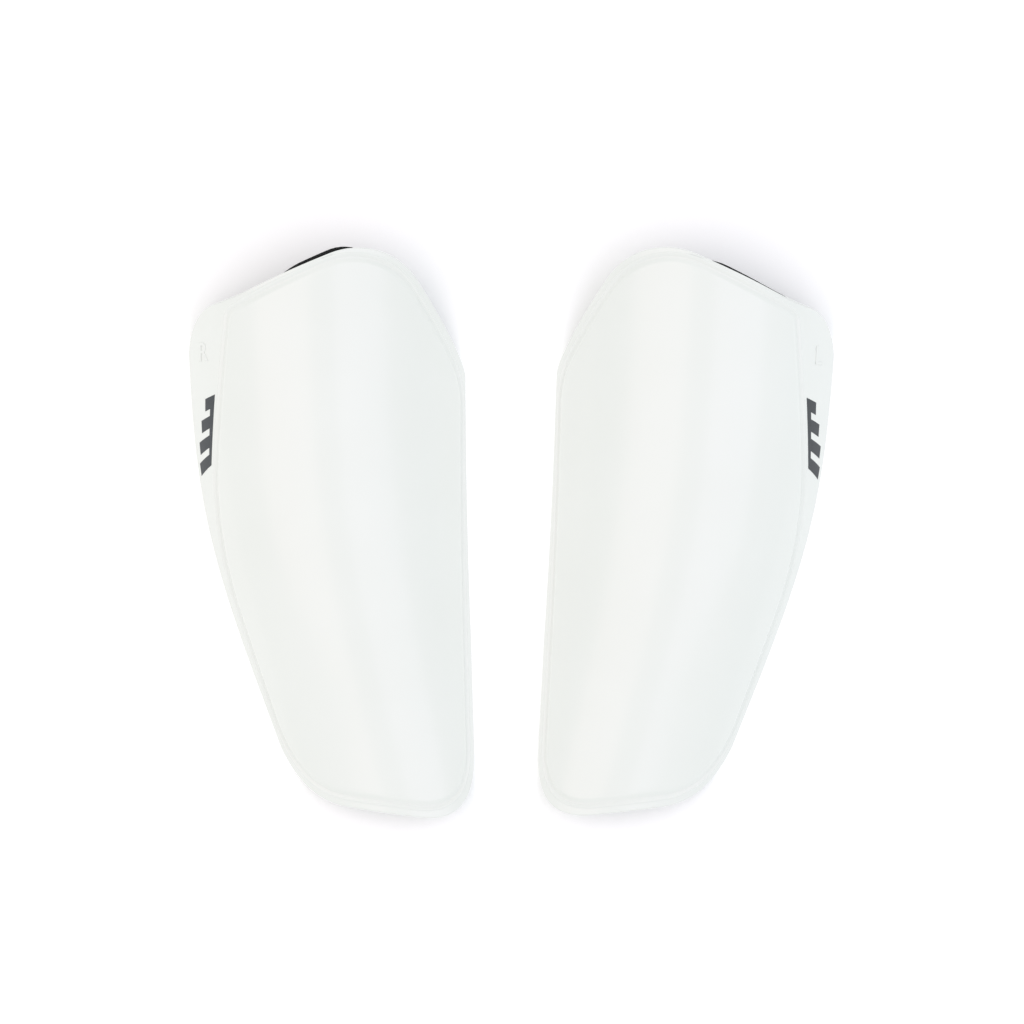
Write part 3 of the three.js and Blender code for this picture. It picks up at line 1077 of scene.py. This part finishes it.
@dataclass
class SideMark:
    """The printed mark on the wing: slanted bars that grow from a thin spine beside the panel."""

    top: float = 51.0
    bars: int = 4
    bar: float = 4.6
    gap: float = 2.6
    slant: float = 0.28
    spine: float = 0.17
    shortest: float = 0.4
    growth: float = 0.22
    film: float = 0.06
    from_panel: float = 3.0
    from_edge: float = 2.6
    slant_width: float = 14.0

    def inputs(self) -> dict[str, float]:
        """The tree's named inputs, with their values."""
        return {
            "Bars": self.bars,
            "Bar width": self.bar,
            "Gap": self.gap,
            "Shortest bar": self.shortest,
            "Growth": self.growth,
            "Spine width": self.spine,
            "Film": self.film,
        }

    def recipe(self, finish: bpy.types.Material) -> NodeRecipe:
        """Draws the bars on a unit square: x from the spine to the wing's edge, y down the leg."""
        recipe = NodeRecipe("slanted_bars")
        values = {name: recipe.size(name, whole=name == "Bars") for name in self.inputs()}
        values["index"] = recipe.add("GeometryNodeInputIndex").outputs["Index"]
        # Each row names a value, and says which operation makes it from which earlier values.
        # The spine is a hair thicker than the bars, so that their top faces don't coincide.
        rows = (
            ("pitch", "ADD", "Bar width", "Gap"),
            ("down", "MULTIPLY", "pitch", -1.0),
            ("longer", "MULTIPLY", "index", "Growth"),
            ("grown", "ADD", "Shortest bar", "longer"),
            ("reach", "MINIMUM", "grown", 1.0),
            ("pitches", "MULTIPLY", "pitch", "Bars"),
            ("length", "SUBTRACT", "pitches", "Gap"),
            ("thick", "MULTIPLY", "Film", 1.2),
        )
        for name, operation, *terms in rows:
            inputs = {k: values.get(term, term) for k, term in enumerate(terms)}
            worked = recipe.add("ShaderNodeMath", inputs, operation=operation)
            values[name] = worked.outputs["Value"]
        count, down = values["Bars"], values["down"]
        step = recipe.add("ShaderNodeCombineXYZ", {"Y": down})
        line = recipe.add("GeometryNodeMeshLine", {"Count": count, "Offset": step.outputs["Vector"]})
        unit = recipe.add(
            "GeometryNodeMeshCube",
            {"Size": (1.0, 1.0, 1.0), "Vertices X": 15, "Vertices Y": 4, "Vertices Z": 2},
        )
        corner = recipe.add(
            "GeometryNodeTransform",
            {"Geometry": unit.outputs["Mesh"], "Translation": (0.5, -0.5, 0.5)},
        )
        scale = recipe.add(
            "ShaderNodeCombineXYZ",
            {"X": values["reach"], "Y": values["Bar width"], "Z": values["Film"]},
        )
        bars = recipe.add(
            "GeometryNodeInstanceOnPoints",
            {
                "Points": line.outputs["Mesh"],
                "Instance": corner.outputs["Geometry"],
                "Scale": scale.outputs["Vector"],
            },
        )
        back = recipe.add(
            "ShaderNodeCombineXYZ",
            {"X": values["Spine width"], "Y": values["length"], "Z": values["thick"]},
        )
        post = recipe.add(
            "GeometryNodeMeshCube",
            {"Size": (1.0, 1.0, 1.0), "Vertices X": 3, "Vertices Y": 24, "Vertices Z": 2},
        )
        placed = recipe.add(
            "GeometryNodeTransform",
            {"Geometry": post.outputs["Mesh"], "Translation": (0.5, -0.5, 0.5)},
        )
        scaled = recipe.add(
            "GeometryNodeTransform",
            {"Geometry": placed.outputs["Geometry"], "Scale": back.outputs["Vector"]},
        )
        both = recipe.add("GeometryNodeJoinGeometry", {"Geometry": bars.outputs["Instances"]})
        recipe.tree.links.new(scaled.outputs["Geometry"], both.inputs["Geometry"])
        recipe.end(both.outputs["Geometry"], finish)
        return recipe

    def build(self, bench: Bench, finish: bpy.types.Material) -> bpy.types.Object:
        """Builds the print."""
        mesh = self.recipe(finish).run(bpy.data.meshes.new("mark_seed"), self.inputs())
        points = mesh_points(mesh)
        y = self.top + points[:, 1] - self.slant * self.slant_width * points[:, 0]
        start = bench.pattern.panel_line(y) - self.from_panel
        end = bench.pattern.wing_edge(y) + self.from_edge
        points[:, 0] = start + (end - start) * points[:, 0]
        points[:, 1] = y
        move_points(mesh, points)
        # The drawing runs from the spine outwards, against u, which turns it inside out.
        mesh.flip_normals()
        name = f"{bench.side.label}_wing_print"
        piece = place_drawing(bench, mesh, name, lambda flat: np.zeros(len(flat)))
        return bench.finish(piece, finish, "print", "side_mark")


@dataclass(frozen=True)
class Proud:
    """Where the foam shows past the shell on the knee edge, which differs as the pads are glued in."""

    at: float
    by: float
    level: float
    reach: float

    def share(self, u: Array) -> Array:
        """How much of it each place along the edge gets."""
        away = np.clip((np.abs(u - self.at) - self.level) / (self.reach - self.level), 0, 1)
        return np.cos(away * math.pi / 2) ** 2


PROUD = {Side.RIGHT: Proud(-4, 1.45, 5, 40), Side.LEFT: Proud(-23, 1.05, 12, 38)}


@dataclass(frozen=True)
class Swelling:
    """How the lining is blown out between its bonded lines."""

    pressure: float = 4.0
    frames: int = 20
    quality: int = 6
    mass: float = 0.2
    stretch_stiffness: float = 12.0
    shear_stiffness: float = 5.0
    bending_stiffness: float = 0.3
    bonded_from: float = 0.55  # how deep in a channel the lining is bonded to the foam
    most_mm: float = 1.2

    def prepare(self, settings: bpy.types.ClothSettings) -> None:
        """Sets a cloth up to swell, with nothing pulling it down."""
        settings.use_pressure = True
        settings.uniform_pressure_force = self.pressure
        settings.effector_weights.gravity = 0.0
        settings.quality = self.quality
        settings.mass = self.mass
        settings.tension_stiffness = self.stretch_stiffness
        settings.compression_stiffness = self.stretch_stiffness
        settings.shear_stiffness = self.shear_stiffness
        settings.bending_stiffness = self.bending_stiffness


@dataclass
class SoftPack:
    """What lies under the shell: the adhesive film, the foam pad and the knitted lining."""

    lattice: Lattice = Lattice((44, 34, 88, 78, 46, 42))
    shell: float = 2.4
    film: float = 0.1
    film_gap: float = 0.05
    film_setback: float = 5.0
    foam: float = 4.3
    pinched: float = 2.0
    pinch_reach: float = 0.75
    channel_depth: float = 1.7
    channel_width: float = 5.0
    tile_columns: int = 3
    tile_rows: int = 7
    knit: float = 0.5
    edge_inset: float = 3.0
    inset_per_depth: float = 1.05
    ring_rows: int = 7
    edge_round: float = 0.8
    swelling: Swelling = Swelling()

    def inset(self, pattern: Pattern, depth: float, proud: Proud | None = None) -> Array:
        """How far each point of a soft layer's edge lies inside the shell's edge."""
        edge = pattern.edge(self.lattice)
        plain = np.full(len(edge), self.edge_inset + self.inset_per_depth * depth)
        if proud is None:
            return plain
        share = proud.share(edge[:, 0])
        share[self.lattice.across + 1 :] = 0.0
        return plain + (-proud.by - plain) * share

    def rings(self, pattern: Pattern, inset: Array) -> list[Array]:
        """The loops of one face, from the core out to its edge."""
        core = pattern.core.sample(self.lattice)
        edge = shift_inwards(pattern.edge(self.lattice), inset)
        return [core + (edge - core) * k / self.ring_rows for k in range(self.ring_rows + 1)]

    def tile(self, sheet: Sheet) -> Array:
        """How deep in a channel each point of a face lies, from 0 on a tile to 1 on its line."""
        grid = sheet.core_grid()
        flat = sheet.flat()
        columns, rows = grid.shape[0] - 1, grid.shape[1] - 1
        depth = np.zeros(len(flat))
        width = np.linalg.norm(flat[grid[-1]] - flat[grid[0]], axis=1)[None, :]
        length = np.linalg.norm(flat[grid[:, -1]] - flat[grid[:, 0]], axis=1)[:, None]
        s = (np.arange(columns + 1) / columns)[:, None]
        t = (np.arange(rows + 1) / rows)[None, :]
        across = np.abs((s * self.tile_columns + 0.5) % 1 - 0.5) / self.tile_columns * width
        down = np.abs((t * self.tile_rows + 0.5) % 1 - 0.5) / self.tile_rows * length
        near = np.minimum(across + 0 * down, down + 0 * across)
        depth[grid] = 1 - ease(near / (self.channel_width / 2))
        return depth

    def skin_depth(self, sheet: Sheet) -> Array:
        """The foam's depth on the skin side: tiles, the channels between them and a pinched edge."""
        ring, loops = self.lattice.ring, len(sheet.loops)
        thick = self.foam - self.channel_depth * self.tile(sheet)
        for k in range(loops):
            share = ease(k / (loops - 1) / self.pinch_reach)
            base = self.foam - self.channel_depth
            thick[k * ring : (k + 1) * ring] = base + (self.pinched - base) * share
        return self.shell + self.film + 2 * self.film_gap + thick

    def build_film(self, bench: Bench, finish: bpy.types.Material) -> bpy.types.Object:
        """Builds the adhesive film."""
        inset = self.inset(bench.pattern, self.shell) + self.film_setback
        face = Sheet(self.lattice, self.rings(bench.pattern, inset))
        count = len(face.flat())
        top = self.shell + self.film_gap
        solid = plate(face, np.full(count, top), [], face, np.full(count, top + self.film))
        name = f"{bench.side.label}_adhesive_film"
        piece = bench.make(name, solid.flat, solid.depth, solid.faces)
        return bench.finish(piece, finish, "bond_film", "bond_film")

    def build_foam(self, bench: Bench, finish: bpy.types.Material) -> bpy.types.Object:
        """Builds the foam pad."""
        pattern = bench.pattern
        top = self.shell + self.film + 2 * self.film_gap
        proud = PROUD[bench.side]
        outer_inset = self.inset(pattern, top, proud)
        inner_inset = self.inset(pattern, top + self.pinched, proud)
        outer = Sheet(self.lattice, self.rings(pattern, outer_inset + self.edge_round))
        inner = Sheet(self.lattice, self.rings(pattern, inner_inset + self.edge_round))
        edge = pattern.edge(self.lattice)
        rim = []
        for angle in np.radians([22.5, 45, 67.5, 90]):
            inset = outer_inset + self.edge_round * (1 - math.sin(angle))
            rim.append((shift_inwards(edge, inset), top + self.edge_round * (1 - math.cos(angle))))
        for angle in np.radians([0, 22.5, 45, 67.5]):
            inset = inner_inset + self.edge_round * (1 - math.cos(angle))
            low = top + self.pinched - self.edge_round * (1 - math.sin(angle))
            rim.append((shift_inwards(edge, inset), low))
        outer_depth = np.full(len(outer.flat()), top)
        solid = plate(outer, outer_depth, rim, inner, self.skin_depth(inner))
        piece = bench.make(f"{bench.side.label}_eva_pad", solid.flat, solid.depth, solid.faces)
        bench.finish(piece, finish, "foam", "foam_pad")
        return piece

    def lining_face(self, bench: Bench) -> Sheet:
        """The lining's loops and grid."""
        depth = self.shell + self.pinched + self.knit
        inset = self.inset(bench.pattern, depth, PROUD[bench.side]) + 2 * self.edge_round
        return Sheet(self.lattice, self.rings(bench.pattern, inset))

    def billow(self, bench: Bench, face: Sheet, depth: Array) -> Array:
        """Lets the lining swell between its bonded lines, as cloth under a little pressure.

        Args:
            bench: The guard's bench.
            face: The lining's face.
            depth: The depths at which it is pressed onto the foam.

        Returns:
            The depths after it has swollen.
        """
        sheet = bench.make("lining_cloth", face.flat(), depth, face.faces()[:, ::-1])
        group = sheet.vertex_groups.new(name="bonded")
        bonded = self.tile(face) > self.swelling.bonded_from
        bonded[: self.lattice.ring * len(face.loops)] = True
        group.add([int(k) for k in np.flatnonzero(bonded)], 1.0, "REPLACE")
        cloth = sheet.modifiers.new("cloth", "CLOTH")
        cloth.settings.vertex_group_mass = "bonded"
        self.swelling.prepare(cloth.settings)
        scene = bpy.context.scene
        for number in range(1, self.swelling.frames + 1):
            scene.frame_set(number)
        moved = baked(sheet)
        shift = (mesh_points(moved) - mesh_points(sheet.data)) / MM
        rise = -(shift * bench.aim(bench.pattern.arch.normals(face.flat()))).sum(axis=1)
        scene.frame_set(1)
        bpy.data.objects.remove(sheet)
        bpy.data.meshes.remove(moved)
        LOG.info("the lining swells by up to %.2f mm", rise.max())
        return depth + np.clip(rise, 0.0, self.swelling.most_mm)

    def build_lining(self, bench: Bench, finish: bpy.types.Material) -> bpy.types.Object:
        """Builds the lining."""
        face = self.lining_face(bench)
        flat = face.flat()
        foam_side = self.skin_depth(face) + self.film_gap
        skin_side = foam_side + self.knit
        skin_side = self.billow(bench, face, skin_side)
        solid = plate(face, foam_side, [], face, skin_side)
        piece = bench.make(f"{bench.side.label}_knit_lining", solid.flat, solid.depth, solid.faces)
        bench.finish(piece, finish, "lining", "lining")
        return piece


@dataclass
class Guard:
    """One guard, with all of its pieces."""

    side: Side
    finishes: Finishes

    def build(self) -> None:
        """Builds and dresses the guard."""
        bench = Bench(self.side, Pattern())
        MouldedShell().build(bench, self.finishes.shell)
        WingLetter().build(bench, self.finishes.shell)
        SideMark().build(bench, self.finishes.ink)
        soft = SoftPack()
        soft.build_film(bench, self.finishes.adhesive)
        soft.build_foam(bench, self.finishes.foam)
        soft.build_lining(bench, self.finishes.lining)


# ---------------------------------------------------------------------------------------------------
# The studio
# ---------------------------------------------------------------------------------------------------


@dataclass(frozen=True)
class Softbox:
    """A flat light that hangs level over the table."""

    name: str
    near_edge: float
    far_edge: float
    colour: str
    radiance: float
    length: float = 1.1
    height: float = 1.0

    def build(self) -> None:
        """Hangs the light."""
        width = abs(self.far_edge - self.near_edge)
        lamp = bpy.data.lights.new(self.name, "AREA")
        lamp.shape = "RECTANGLE"
        lamp.size = width
        lamp.size_y = self.length
        lamp.color = linear(self.colour)[:3]
        lamp.energy = self.radiance * math.pi * width * self.length
        middle = (self.near_edge + self.far_edge) / 2
        add_object(self.name, lamp).location = (middle, 0.0, self.height)


@dataclass(frozen=True)
class Studio:
    """A pale table under two long softboxes, seen from straight above."""

    camera_height: float = 1.3
    view_width: float = 0.384
    sensor_mm: float = 36.0
    aim_x: float = 0.00023
    aim_y: float = 0.00819
    lamps: tuple[Softbox, ...] = (
        Softbox("left_softbox", near_edge=-0.2, far_edge=-1.5, colour="#FFDEE0", radiance=0.9),
        Softbox("right_softbox", near_edge=0.2, far_edge=1.35, colour="#F5E4FF", radiance=0.86),
    )
    floor_size: float = 6.0
    floor_colour: str = "#FCFCFC"
    floor_glow: float = 0.14
    sky: float = 0.81
    sky_colour: str = "#F8FFFE"

    def build(self) -> None:
        """Sets up the camera, the floor, the sky and the lights."""
        scene = bpy.context.scene
        scene.view_settings.view_transform = "Standard"
        self._camera(scene)
        self._floor()
        world = bpy.data.worlds.new("white_room")
        world.use_nodes = True
        background = world.node_tree.nodes["Background"]
        background.inputs["Color"].default_value = linear(self.sky_colour)
        background.inputs["Strength"].default_value = self.sky
        scene.world = world
        for lamp in self.lamps:
            lamp.build()

    def _camera(self, scene: bpy.types.Scene) -> None:
        """Hangs the camera over the pair, looking straight down with the knee ends up."""
        lens = bpy.data.cameras.new("overhead")
        lens.sensor_width = self.sensor_mm
        lens.lens = self.sensor_mm * self.camera_height / self.view_width
        lens.clip_start, lens.clip_end = 0.05, 20.0
        scene.camera = add_object("overhead", lens)
        scene.camera.location = (self.aim_x, self.aim_y, self.camera_height)

    def _floor(self) -> None:
        """Lays the table top, which can be seen through from below."""
        half = self.floor_size / 2
        mesh = bpy.data.meshes.new("table_top")
        corners = [(-half, -half, 0), (half, -half, 0), (half, half, 0), (-half, half, 0)]
        mesh.from_pydata(corners, [], [(0, 1, 2, 3)])
        material, shader = new_material(
            "white_laminate",
            {
                "Base Color": linear(self.floor_colour),
                "Roughness": 0.7,
                "Emission Color": linear("#FFFFFF"),
                "Emission Strength": self.floor_glow,
            },
        )
        tree = material.node_tree
        back = add_node(tree, "ShaderNodeNewGeometry").outputs["Backfacing"]
        clear = add_node(tree, "ShaderNodeBsdfTransparent")
        mixed = add_node(
            tree, "ShaderNodeMixShader", {0: back, 1: shader.outputs["BSDF"], 2: clear.outputs["BSDF"]}
        )
        output = next(n for n in tree.nodes if n.type == "OUTPUT_MATERIAL")
        tree.links.new(mixed.outputs["Shader"], output.inputs["Surface"])
        mesh.materials.append(material)
        add_object("table_top", mesh)


def main() -> None:
    """Builds the studio and the two guards."""
    logging.basicConfig(level=logging.INFO, format="%(name)s: %(message)s")
    Studio().build()
    finishes = Finishes.build()
    for side in Side:
        Guard(side, finishes).build()


if __name__ == "__main__":
    main()
